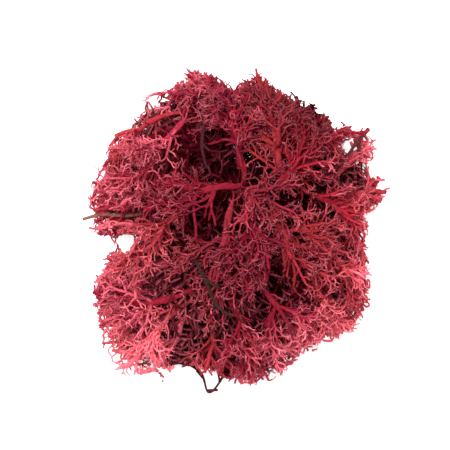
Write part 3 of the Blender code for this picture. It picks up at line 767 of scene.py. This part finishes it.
class Heap:
    """The corners and triangles of one piece, with what its colour needs."""

    def __init__(self):
        self.places, self.faces = [], []
        self.ages, self.tones = [], []
        self.count = 0

    def add(self, places, faces, ages, tones):
        self.places.append(places.reshape(-1, 3))
        self.faces.append(faces.reshape(-1, 3) + self.count)
        self.ages.append(ages.reshape(-1))
        self.tones.append(tones.reshape(-1))
        self.count += self.places[-1].shape[0]

    def tubes(self, paths, radii, sides, flats, ages, tones, uneven, dice, rooted=False):
        """Tubes along paths of equal count, to a blunt end.  A rooted one's start is
        inside its parent, and has no face of its own.
        """
        number, rings = paths.shape[:2]
        if not number:
            return
        ways = unit(np.gradient(paths, axis=1))
        level = np.cross(ways.mean(1), (0.0, 0.0, 1.0))
        level = unit(level + NUDGE * square_to(unit(ways.mean(1)), dice))
        over = level[:, None] - (level[:, None] * ways).sum(-1, keepdims=True) * ways
        over = unit(over)
        up = np.cross(over, ways)
        turns = np.arange(sides) / sides * math.tau
        across = over[:, :, None] * np.cos(turns)[None, None, :, None]
        across = across * flats[:, None, None, None]
        upward = up[:, :, None] * np.sin(turns)[None, None, :, None]
        upward = upward / np.sqrt(flats)[:, None, None, None]
        rough = 1 + uneven * dice.uniform(-1, 1, size=(number, rings, sides, 1))
        corners = paths[:, :, None] + (across + upward) * radii[:, :, None, None] * rough
        tips = paths[:, -1] + ways[:, -1] * radii[:, -1, None] * TIP_BULGE
        parts = [corners.reshape(number, -1, 3), tips[:, None]]
        if not rooted:
            roots = paths[:, 0] - ways[:, 0] * radii[:, 0, None] * ROOT_BULGE
            parts.append(roots[:, None])
        places = np.concatenate(parts, axis=1)
        each = places.shape[1]
        faces = np.array(tube_faces(rings, sides, rooted))[:, ::-1]
        every = faces[None] + (np.arange(number) * each)[:, None, None]
        grown = np.repeat(ages, sides, axis=1)
        grown = np.concatenate((grown, ages[:, -1:], ages[:, :1]), axis=1)[:, :each]
        self.add(places, every, grown, np.repeat(tones[:, None], each, axis=1))

    def spikes(self, starts, ends, radius, ages, tones, dice):
        """Slender three-sided points."""
        number = len(starts)
        if not number:
            return
        ways = unit(ends - starts)
        first = square_to(ways, dice)
        second = np.cross(ways, first)
        places = np.zeros((number, 4, 3))
        for turn in range(3):
            angle = math.tau * turn / 3
            places[:, turn] = starts + (first * math.cos(angle)
                                        + second * math.sin(angle)) * radius
        places[:, 3] = ends
        faces = np.array(((0, 1, 3), (1, 2, 3), (2, 0, 3)))
        every = faces[None] + (np.arange(number) * 4)[:, None, None]
        self.add(places, every, np.stack((ages, ages, ages, np.ones(number)), axis=1),
                 np.repeat(tones[:, None], 4, axis=1))

    def make(self, name, material):
        """The piece itself."""
        places = np.concatenate(self.places)
        faces = np.concatenate(self.faces)
        mesh = bpy.data.meshes.new(name)
        mesh.vertices.add(len(places))
        mesh.vertices.foreach_set("co", (places * MM).astype(np.float32).ravel())
        mesh.loops.add(faces.size)
        mesh.loops.foreach_set("vertex_index", faces.astype(np.int32).ravel())
        mesh.polygons.add(len(faces))
        mesh.polygons.foreach_set("loop_start",
                                  np.arange(0, faces.size, 3, dtype=np.int32))
        mesh.polygons.foreach_set("use_smooth", np.ones(len(faces), dtype=bool))
        mesh.update(calc_edges=True)
        # Tones take random tone, patches and painted light towards the rim; the depth under
        # the top carries painted shade
        tones = TONE_BASE ** (np.concatenate(self.tones) + rim_light_and_patch_shift(places))
        depth = np.clip((dome(places) - places[:, 2]) / PAINTED_SHADE_RANGE, 0, 1)
        for kind, values in (("age", np.concatenate(self.ages)),
                             ("tone", np.minimum(tones, MOST_TONE)), ("depth", depth)):
            layer = mesh.attributes.new(kind, "FLOAT", "POINT")
            layer.data.foreach_set("value", values.astype(np.float32))
        mesh.materials.append(material)
        piece = bpy.data.objects.new(name, mesh)
        bpy.context.scene.collection.objects.link(piece)
        return piece


def tube_faces(rings, sides, rooted):
    """The corners of each triangle of one tube."""
    faces = []
    for ring in range(rings - 1):
        for side in range(sides):
            low, after = ring * sides + side, ring * sides + (side + 1) % sides
            faces += [(low, low + sides, after), (after, low + sides, after + sides)]
    end = (rings - 1) * sides
    tip, root = rings * sides, rings * sides + 1
    for side in range(sides):
        after = (side + 1) % sides
        faces.append((end + side, tip, end + after))
        if not rooted:
            faces.append((side, after, root))
    return faces


def rim_light_and_patch_shift(places):
    """How much brighter each place is: painted light towards the rim, and patches that shift
    it up or down.
    """
    x, y = places[:, 0], places[:, 1]
    # Painted light: brighter towards the rim
    shift = RIM_PAINTED_LIGHT * (np.hypot(x, y) / reach_at(x, y) - RIM_PAINTED_LIGHT_START)
    for patch_x, patch_y, size, more in TONE_PATCHES:
        apart = (x - patch_x) ** 2 + (y - patch_y) ** 2
        shift = shift + more * np.exp(-apart / size ** 2)
    return shift


def smooth_path(limb, spans, sway, dice):
    """A limb's places and radii with a smooth curve through them."""
    points = np.array([point[:] for point in limb.points])
    radii = np.array(limb.radii, dtype=float)
    before = points[:1] * 2 - points[1:2]
    after = points[-1:] * 2 - points[-2:-1]
    line = np.concatenate((before, points, after))
    steps = np.arange(spans * (len(points) - 1) + 1) / spans
    base = np.minimum(steps.astype(int), len(points) - 2)
    t = (steps - base)[:, None]
    a, b, c, d = (line[base + shift] for shift in range(4))
    curve = 0.5 * (2 * b + (c - a) * t + (2 * a - 5 * b + 4 * c - d) * t ** 2
                   + (3 * b - a - 3 * c + d) * t ** 3)
    share = steps / (len(points) - 1)
    wave = sum(np.sin(share[:, None] * turns + dice.uniform(0, math.tau, 3)) / turns
               for turns in WAVES)
    fade = np.sin(np.clip(share, 0, 1) * math.pi)[:, None]
    return curve + wave * fade * sway, np.interp(steps, range(len(radii)), radii)


def runners(limb, deep, dice):
    """Long thin strands that run along a limb and part from it."""
    made = []
    for _ in range((DEEP_RUNNERS if deep else RUNNERS).get(limb.order, 0)):
        at = dice.uniform(*RUNNER_START) * (len(limb.points) - 1)
        index = int(at)
        place = limb.points[index].lerp(limb.points[index + 1], at - index)
        way = limb.way(index + 1)
        aside = Vector(dice.normal(size=3))
        aside = (aside - way * aside.dot(way)).normalized()
        heading = (way + aside * dice.uniform(*RUNNER_SPREAD)).normalized()
        step = dice.uniform(*RUNNER_LENGTH) / RUNNER_STEPS
        points = [place]
        for _ in range(RUNNER_STEPS):
            points.append(points[-1] + heading * step)
            heading = (heading + Vector(dice.normal(size=3)) * RUNNER_WAVE).normalized()
        if within(np.array([point[:] for point in points[1:]]), 0).all():
            made.append(Limb(2, points, RUNNER_RADII, aside))
    return made


def finer_limb(limb, row, deep, dice):
    """The places and radii of a limb's tube."""
    shape = SHAPES[min(limb.order, 2)]
    spans = shape.deep_spans if deep else shape.spans
    if isinstance(row, Stem):
        points = [Vector(place) for place in moved(row, limb.points)]
        path, radii = smooth_path(Limb(limb.order, points, limb.radii, limb.side),
                                  spans, 0.0, dice)
    else:
        path, radii = smooth_path(limb, spans, shape.sway, dice)
        past = np.nonzero(~within(path, PRONG_MARGIN))[0]
        past = past[past >= LEAST_PLACES]
        if len(past):
            path, radii = path[:past[0]], radii[:past[0]]
    share = np.linspace(0, 1, len(radii))
    if limb.order == 1:
        radii = radii * np.interp(share, *LIMB_SWELL)
    elif limb.order == 0 and isinstance(row, Stem):
        radii = radii * STEM_SHARES.get(row.name, STEM_SHARE)
    elif limb.order == 0:
        start = dice.uniform(0, KNOB_START)
        knobs = np.sin(np.linspace(0, KNOB_TURNS, len(radii)) + start)
        radii = radii * np.interp(share, *STALK_SWELL)
        radii = radii * (1 + STALK_KNOBS * knobs)
    return path, radii


def seeds_along(limb, path, along, ages, number, tone, dice):
    """Where forks start: round a limb's sides, and three at each open end."""
    step = SIDE_STEP * (STALK_STEP_SHARE if limb.order == 0 else 1.0)
    spots = np.arange(along[-1] * BARE_SHARE, along[-1] - END_SPACE, step)
    turn = dice.uniform(0, math.tau)
    seeds = []
    for count, spot in enumerate(spots):
        place = [np.interp(spot, along, path[:, axis]) for axis in range(3)]
        index = min(int(np.searchsorted(along, spot)), len(path) - 1)
        way = path[index] - path[index - 1]
        seeds.append((*place, *way, number, ages[index], tone,
                      turn + count * GOLDEN_TURN, 0.0))
    ends = [(path[-1], path[-1] - path[-2], ages[-1])]
    if limb.order == 0:
        ends.append((path[0], path[0] - path[1], FOOT_AGE))
    for place, way, age in ends:
        for fork_turn in range(3):
            seeds.append((*place, *way, number, age, tone,
                          turn + fork_turn * math.tau / 3, 1.0))
    return seeds


def grow_limbs(rows, heaps, deep, dice):
    """Every limb's tube, and the seeds of its forks."""
    seeds = []
    for number, row in enumerate(rows):
        spray_tone = dice.uniform(-1, 1)
        bare = isinstance(row, Stem)
        strands = [] if bare else [strand for limb in LIMBS[row.name]
                                   for strand in runners(limb, deep, dice)]
        for limb in LIMBS[row.name] + strands:
            shape = SHAPES[min(limb.order, 2)]
            path, radii = finer_limb(limb, row, deep, dice)
            flat = dice.uniform(*shape.flatness)
            length = np.linalg.norm(np.diff(path, axis=0), axis=1)
            along = np.concatenate(((0,), np.cumsum(length)))
            ages = shape.age + AGE_ALONG * along / along[-1]
            tone = spray_tone * SPRAY_TONE + dice.uniform(-LIMB_TONE, LIMB_TONE)
            heaps[number].tubes(path[None], radii[None], shape.sides, np.array([flat]),
                                ages[None], np.array([tone]), LIMB_UNEVEN, dice)
            if not bare:
                seeds += seeds_along(limb, path, along, ages, number, tone, dice)
    return np.array(seeds)


def pick(twigs, rows):
    return Twigs(*(values[rows] for values in twigs))


def forks_of(twigs, forks, dice):
    """Each twig once for each of its forks, and the turn of each round its way."""
    count = len(twigs.places)
    turns = np.repeat(dice.uniform(0, math.tau, count), forks)
    turns = turns + np.tile(np.arange(forks), count) * math.tau / forks
    return pick(twigs, np.repeat(np.arange(count), forks)), turns


def grow_forks(twigs, heads, lace, heaps, sizes, deep, phase, dice):
    """A generation of forks that find room, as tubes on the heaps."""
    size = dice.uniform(*lace.length, len(heads))[:, None] * sizes.fork_length
    bent = unit(heads + BEND_ON * twigs.ways + BEND_ASIDE * square_to(heads, dice)
                + np.array(LIFT))
    middle = twigs.places + heads * size * 0.5
    ends = middle + bent * size * 0.5
    good = within(ends, sizes.margin / MM, FILLING_SPOTS if deep else LACE_SPOTS)
    good &= uncrowded(ends, deep, phase)
    fitting = np.nonzero(good)[0]
    fitting = fitting[dice.permutation(len(fitting))]
    kept = fitting[claim(ends[fitting], lace.apart * sizes.spacing)]
    twigs = pick(twigs, kept)
    tones = np.clip(twigs.tones + dice.uniform(-LACE_TONE, LACE_TONE, len(kept)), -1, 1)
    thick = dice.uniform(*THICK_PLAY, len(kept)) * sizes.twig_radius / (FINE_RADIUS * MM)
    low, high = lace.radii
    grown = np.minimum(twigs.ages + AGE_GROWTH, 1)
    paths = [twigs.places - heads[kept] * SUNK_ROOT, middle[kept], ends[kept]]
    radii = [low * thick, (low + high) / 2 * thick * WAIST, high * thick]
    ages = [twigs.ages, (twigs.ages + grown) / 2, grown]
    chosen = (0, 1, 2) if lace.spans == 2 else (0, 2)
    paths, radii, ages = (np.stack([layers[place] for place in chosen], axis=1)
                          for layers in (paths, radii, ages))
    for number, heap in enumerate(heaps):
        ours = twigs.owners == number
        flats = dice.uniform(*LACE_FLATNESS, int(ours.sum()))
        heap.tubes(paths[ours], radii[ours], lace.sides, flats, ages[ours], tones[ours],
                   LACE_UNEVEN, dice, rooted=True)
    return Twigs(ends[kept], bent[kept], twigs.owners, grown, tones)


def add_prongs(twigs, heaps, sizes, dice):
    """Pointed tips on the last forks."""
    twigs, turns = forks_of(twigs, PRONG_FORKS, dice)
    heads = leaning(twigs.ways, turns, dice.uniform(*PRONG_LEAN, len(turns)))
    size = dice.uniform(*PRONG_LENGTH, len(heads))[:, None] * sizes.fork_length
    ends = twigs.places + heads * size
    kept = within(ends, sizes.margin / MM + PRONG_MARGIN)
    radius = PRONG_RADIUS * sizes.twig_radius / (FINE_RADIUS * MM)
    for number, heap in enumerate(heaps):
        ours = kept & (twigs.owners == number)
        heap.spikes(twigs.places[ours] - heads[ours] * PRONG_SUNK, ends[ours], radius,
                    twigs.ages[ours], twigs.tones[ours], dice)


def grow_lace(rows, sizes, deep):
    """Every row's tubes, lace and pointed tips: a heap for each."""
    dice = np.random.default_rng(sizes.seed)
    phase = dice.uniform(0, math.tau, 3)
    heaps = [Heap() for _ in rows]
    seeds = grow_limbs(rows, heaps, deep, dice)
    if not len(seeds):
        return heaps
    twigs = Twigs(seeds[:, :3], unit(seeds[:, 3:6]), seeds[:, 6].astype(int),
                  seeds[:, 7], seeds[:, 8])
    turns, at_tip = seeds[:, 9], seeds[:, 10] > 0.5
    lean = np.where(at_tip, dice.uniform(*LACE[0].lean, len(seeds)),
                    dice.uniform(*SIDE_LEAN, len(seeds)))
    for order, lace in enumerate(FILLING if deep else LACE):
        if order:
            twigs, turns = forks_of(twigs, lace.forks, dice)
            turns = turns + dice.uniform(-TURN_PLAY, TURN_PLAY, len(turns))
            lean = dice.uniform(*lace.lean, len(turns))
        twigs = grow_forks(twigs, leaning(twigs.ways, turns, lean), lace, heaps, sizes,
                           deep, phase, dice)
    add_prongs(twigs, heaps, sizes, dice)
    return heaps


def node(tree, kind, **values):
    made = tree.nodes.new(kind)
    for name, value in values.items():
        setattr(made, name, value)
    return made


def mix(tree, blend, factor, first, second):
    """A colour mix, its three inputs being values, colours or sockets."""
    made = node(tree, "ShaderNodeMix", data_type="RGBA", blend_type=blend)
    for socket, value in zip((made.inputs[0], made.inputs[6], made.inputs[7]),
                             (factor, first, second)):
        if isinstance(value, bpy.types.NodeSocket):
            tree.links.new(value, socket)
        else:
            socket.default_value = value
    return made.outputs[2]


def ranged(tree, value, low, high, to_low, to_high):
    made = node(tree, "ShaderNodeMapRange")
    tree.links.new(value, made.inputs["Value"])
    for name, number in (("From Min", low), ("From Max", high),
                         ("To Min", to_low), ("To Max", to_high)):
        made.inputs[name].default_value = number
    return made.outputs["Result"]


def noise(tree, scale, detail):
    """A noise that is fixed to the moss's own places."""
    where = node(tree, "ShaderNodeNewGeometry")
    made = node(tree, "ShaderNodeTexNoise")
    made.inputs["Scale"].default_value = scale
    made.inputs["Detail"].default_value = detail
    tree.links.new(where.outputs["Position"], made.inputs["Vector"])
    return made.outputs["Fac"]


def speckle(tree, kind):
    return ranged(tree, noise(tree, kind.scale, kind.detail), kind.low, kind.high,
                  kind.to_low, kind.to_high)


def tinted(base, tint):
    gains, lifts = tint
    return (*(value * gain + lift for value, gain, lift in zip(base, gains, lifts)), 1)


def moss_material(name, colour, looks):
    """Dyed moss: paler at its tips, brighter and paler towards the rim partly as painted
    light, darkened deeper inside the clump as painted shade, uneven all over.
    """
    material = bpy.data.materials.new("moss_" + name)
    material.use_nodes = True
    tree = material.node_tree
    shader = tree.nodes["Principled BSDF"]
    layers = {}
    for kind in ("age", "tone", "depth"):
        made = node(tree, "ShaderNodeAttribute", attribute_name=kind)
        layers[kind] = made.outputs["Fac"]
    base = Vector(colour[:3])
    paleness = looks.paleness * (SHADED_PALENESS if name == SHADED else 1)
    pale = base.lerp(Vector(looks.tips[:3]), 0 if name in WOODY else paleness)
    # The colour of the painted shade deep inside the clump
    deep = base.lerp(Vector(looks.inside[:3]), PAINTED_SHADE_SHARE)
    body = mix(tree, "MIX", ranged(tree, layers["age"], PALE_FROM, 1.0, 0, 1),
               (*base, 1), (*pale, 1))
    body = mix(tree, "MIX", speckle(tree, ROSY), body, tinted(base, ROSY_TINT))
    body = mix(tree, "MIX", speckle(tree, WARM), body, tinted(base, WARM_TINT))
    # Brighter tones pale towards the tips' colour: random tone and painted light at the rim
    if name not in WOODY:
        tone_and_rim_light_paling = ranged(tree, layers["tone"], 1.0, MOST_TONE, 0, MOST_BRIGHT_PALING)
        body = mix(tree, "MIX", tone_and_rim_light_paling, body, (*looks.tips[:3], 1))
    # Brightness by tone, which holds random tone, patches and painted light towards the rim
    body = mix(tree, "MULTIPLY", 1.0, body, layers["tone"])
    body = mix(tree, "MULTIPLY", 1.0, body, speckle(tree, GRAIN))
    # Painted shade: darker the deeper a place lies under the clump's top
    sunk = ranged(tree, layers["depth"], PAINTED_SHADE_FROM, PAINTED_SHADE_TO, 0, looks.inner_painted_shade)
    body = mix(tree, "MIX", sunk, body, (*deep, 1))
    tree.links.new(body, shader.inputs["Base Color"])
    bump = node(tree, "ShaderNodeBump")
    bump.inputs["Strength"].default_value = BUMP_STRENGTH
    bump.inputs["Distance"].default_value = BUMP_HEIGHT
    tree.links.new(noise(tree, BUMP_SCALE, BUMP_DETAIL), bump.inputs["Height"])
    tree.links.new(bump.outputs["Normal"], shader.inputs["Normal"])
    shader.inputs["Roughness"].default_value = looks.roughness
    shader.inputs["Sheen Weight"].default_value = looks.sheen
    shader.inputs["Sheen Roughness"].default_value = SHEEN_ROUGHNESS
    shader.inputs["Sheen Tint"].default_value = (*looks.tips[:3], 1)
    shader.inputs["Specular IOR Level"].default_value = SHINE
    return material


def build_group(rows, context, deep=False):
    """Grow a group's sprays and put each one in place of its solid."""
    sizes, looks = context.scene.moss_sizes, context.scene.moss_looks
    heaps = grow_lace(rows, sizes, deep)
    for row, heap in zip(rows, heaps):
        name = "moss_" + row.colour
        material = bpy.data.materials.get(name) or moss_material(
            row.colour, getattr(looks, row.colour), looks)
        piece = heap.make(row.name + "_lace", material)
        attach(piece, "root")
        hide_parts(row.name)
    return {"FINISHED"}


def make_floor(stage):
    bpy.ops.mesh.primitive_plane_add(size=FLOOR_SIZE)
    floor = bpy.context.object
    floor.name = "floor"
    material = bpy.data.materials.new("floor")
    material.use_nodes = True
    shader = material.node_tree.nodes["Principled BSDF"]
    shader.inputs["Base Color"].default_value = (*stage.floor, 1)
    shader.inputs["Roughness"].default_value = FLOOR_ROUGHNESS
    shader.inputs["Emission Color"].default_value = (1, 1, 1, 1)
    shader.inputs["Emission Strength"].default_value = FLOOR_GLOW
    floor.data.materials.append(material)


def light_stage(stage, scene):
    """Even daylight, and a soft lamp from the upper left."""
    world = bpy.data.worlds.new("daylight")
    scene.world = world
    world.use_nodes = True
    sky = world.node_tree.nodes["Background"]
    sky.inputs["Color"].default_value = (1, 1, 1, 1)
    sky.inputs["Strength"].default_value = stage.daylight
    lamp = bpy.data.lights.new("soft_lamp", "AREA")
    lamp.energy = stage.lamp
    lamp.size = LAMP_SIZE
    light = bpy.data.objects.new("soft_lamp", lamp)
    light.location = LAMP_PLACE
    light.rotation_euler = (-Vector(LAMP_PLACE)).to_track_quat("-Z", "Y").to_euler()
    scene.collection.objects.link(light)


def aim_camera(stage, scene):
    """A camera straight above, that sees the frame's width at the clump."""
    lens = bpy.data.cameras.new("camera")
    lens.sensor_width = SENSOR_WIDTH
    away = stage.camera_height - FRAME_HEIGHT
    lens.lens = SENSOR_WIDTH * away / stage.frame_width
    camera = bpy.data.objects.new("camera", lens)
    camera.location = (stage.look_x, stage.look_y, stage.camera_height)
    scene.collection.objects.link(camera)
    scene.camera = camera


def colour_property(name, colour, what="Base colour of its sprays and stems"):
    return FloatVectorProperty(name=name, description=what, default=colour, size=3,
                               min=0, max=1, subtype="COLOR")


def share_property(name, share, what):
    return FloatProperty(name=name, description=what, default=share, min=0, max=1,
                         subtype="FACTOR")


class MossSizes(bpy.types.PropertyGroup):
    """How the lace grows."""
    seed: IntProperty(name="Seed", description="Start of the random draws", default=23)
    twig_radius: FloatProperty(
        name="Twig radius", description="Radius of the finest twigs",
        default=FINE_RADIUS * MM, min=0.0001, max=0.0006, unit="LENGTH", precision=5)
    fork_length: FloatProperty(
        name="Fork length", description="Length of each fork against its usual one",
        default=1.0, min=0.5, max=1.5, subtype="FACTOR")
    spacing: FloatProperty(
        name="Spacing", description="Distance between tips against its usual one",
        default=1.0, min=0.8, max=2.0, subtype="FACTOR")
    margin: FloatProperty(
        name="Margin", description="How far the last tips pass the clump's outline",
        default=MARGIN * MM, min=-0.003, max=0.003, unit="LENGTH", precision=4)


class MossLooks(bpy.types.PropertyGroup):
    """The clump's colours and finish."""
    crimson: colour_property("crimson", (0.27, 0.0110, 0.0280))
    scarlet: colour_property("scarlet", (0.32, 0.0130, 0.0260))
    rose: colour_property("rose", (0.33, 0.0230, 0.0400))
    coral: colour_property("coral", (0.37, 0.0260, 0.0370))
    # Burgundy: one tuft's own colour, and partly painted shade on the hollow and under sprays
    burgundy: colour_property("burgundy", (0.10, 0.0012, 0.0065))
    dark: colour_property("dark", (0.070, 0.016, 0.020))
    brown: colour_property("brown", (0.22, 0.090, 0.060))
    grey: colour_property("grey", (0.050, 0.022, 0.018))
    tips: colour_property("tips", (0.82, 0.21, 0.26), "Colour that the tips pale to")
    # The colour of the painted shade deep inside the clump
    inside: colour_property("inside", (0.016, 0.0001, 0.0006), "Colour deep inside")
    paleness: share_property("Paleness", 0.42, "How far the tips pale")
    # How strong the painted shade inside the clump is
    inner_painted_shade: share_property("Inner dark", 0.95, "How dark the inside is")
    roughness: share_property("Roughness", 0.8, "Surface roughness")
    sheen: share_property("Sheen", 0.012, "Velvety sheen")


class MossStage(bpy.types.PropertyGroup):
    """Floor, light and camera."""
    floor: colour_property("floor", (0.98, 0.98, 0.98), "Colour of the floor")
    daylight: FloatProperty(name="Daylight", description="Strength of the light all round",
                            default=0.48, min=0, max=5)
    lamp: FloatProperty(name="Lamp", description="Power of the soft lamp",
                        default=12.0, min=0, max=200, unit="POWER")
    camera_height: FloatProperty(name="Camera height", description="Height of the camera",
                                 default=0.7, min=0.2, max=3, unit="LENGTH")
    frame_width: FloatProperty(
        name="Frame width", description="Width that the camera sees at the clump",
        default=0.144, min=0.05, max=1, unit="LENGTH")
    look_x: FloatProperty(name="Look at X", description="Middle of the camera's view",
                          default=-0.0032, unit="LENGTH", precision=4)
    look_y: FloatProperty(name="Look at Y", description="Middle of the camera's view",
                          default=0.0021, unit="LENGTH", precision=4)


class MOSS_OT_outer(bpy.types.Operator):
    """Grow the sprays round the outside and over the shoulders"""
    bl_idname = "moss.outer"
    bl_label = "Grow outer sprays"

    def execute(self, context):
        return build_group(GROUPS["outer"], context)


class MOSS_OT_centre(bpy.types.Operator):
    """Grow the sprays on top of the clump"""
    bl_idname = "moss.centre"
    bl_label = "Grow centre sprays"

    def execute(self, context):
        return build_group(GROUPS["centre"], context)


class MOSS_OT_hollow(bpy.types.Operator):
    """Grow the dark sprays in the hollows"""
    bl_idname = "moss.hollow"
    bl_label = "Grow hollow sprays"

    def execute(self, context):
        return build_group(GROUPS["hollow"], context, deep=True)


class MOSS_OT_under(bpy.types.Operator):
    """Grow the dark sprays that the clump rests on"""
    bl_idname = "moss.under"
    bl_label = "Grow under sprays"

    def execute(self, context):
        return build_group(GROUPS["under"], context, deep=True)


class MOSS_OT_stems(bpy.types.Operator):
    """Grow the loose stems"""
    bl_idname = "moss.stems"
    bl_label = "Grow stems"

    def execute(self, context):
        return build_group(STEMS, context)


class MOSS_OT_stage(bpy.types.Operator):
    """Set the floor, the light and the camera"""
    bl_idname = "moss.stage"
    bl_label = "Set the stage"

    def execute(self, context):
        stage = context.scene.moss_stage
        make_floor(stage)
        light_stage(stage, context.scene)
        aim_camera(stage, context.scene)
        context.scene.view_settings.view_transform = "Standard"
        return {"FINISHED"}


class MOSS_PT_panel(bpy.types.Panel):
    """The clump's steps and settings"""
    bl_label = "Reindeer moss"
    bl_idname = "MOSS_PT_panel"
    bl_space_type = "VIEW_3D"
    bl_region_type = "UI"
    bl_category = "Moss"

    def draw(self, context):
        layout = self.layout
        for group in (context.scene.moss_sizes, context.scene.moss_looks,
                      context.scene.moss_stage):
            box = layout.box()
            for name in group.bl_rna.properties.keys():
                if name not in ("rna_type", "name"):
                    box.prop(group, name)
        for operator in OPERATORS:
            layout.operator(operator.bl_idname)


OPERATORS = (MOSS_OT_outer, MOSS_OT_centre, MOSS_OT_hollow, MOSS_OT_under,
             MOSS_OT_stems, MOSS_OT_stage)
CLASSES = (MossSizes, MossLooks, MossStage, *OPERATORS, MOSS_PT_panel)
LIMBS = grow_clump()


def register():
    for item in CLASSES:
        bpy.utils.register_class(item)
    bpy.types.Scene.moss_sizes = PointerProperty(type=MossSizes)
    bpy.types.Scene.moss_looks = PointerProperty(type=MossLooks)
    bpy.types.Scene.moss_stage = PointerProperty(type=MossStage)


def unregister():
    for name in ("moss_sizes", "moss_looks", "moss_stage"):
        delattr(bpy.types.Scene, name)
    for item in reversed(CLASSES):
        bpy.utils.unregister_class(item)


def main():
    register()
    for operator in OPERATORS:
        getattr(bpy.ops.moss, operator.bl_idname.split(".")[1])()


if __name__ == "__main__":
    main()
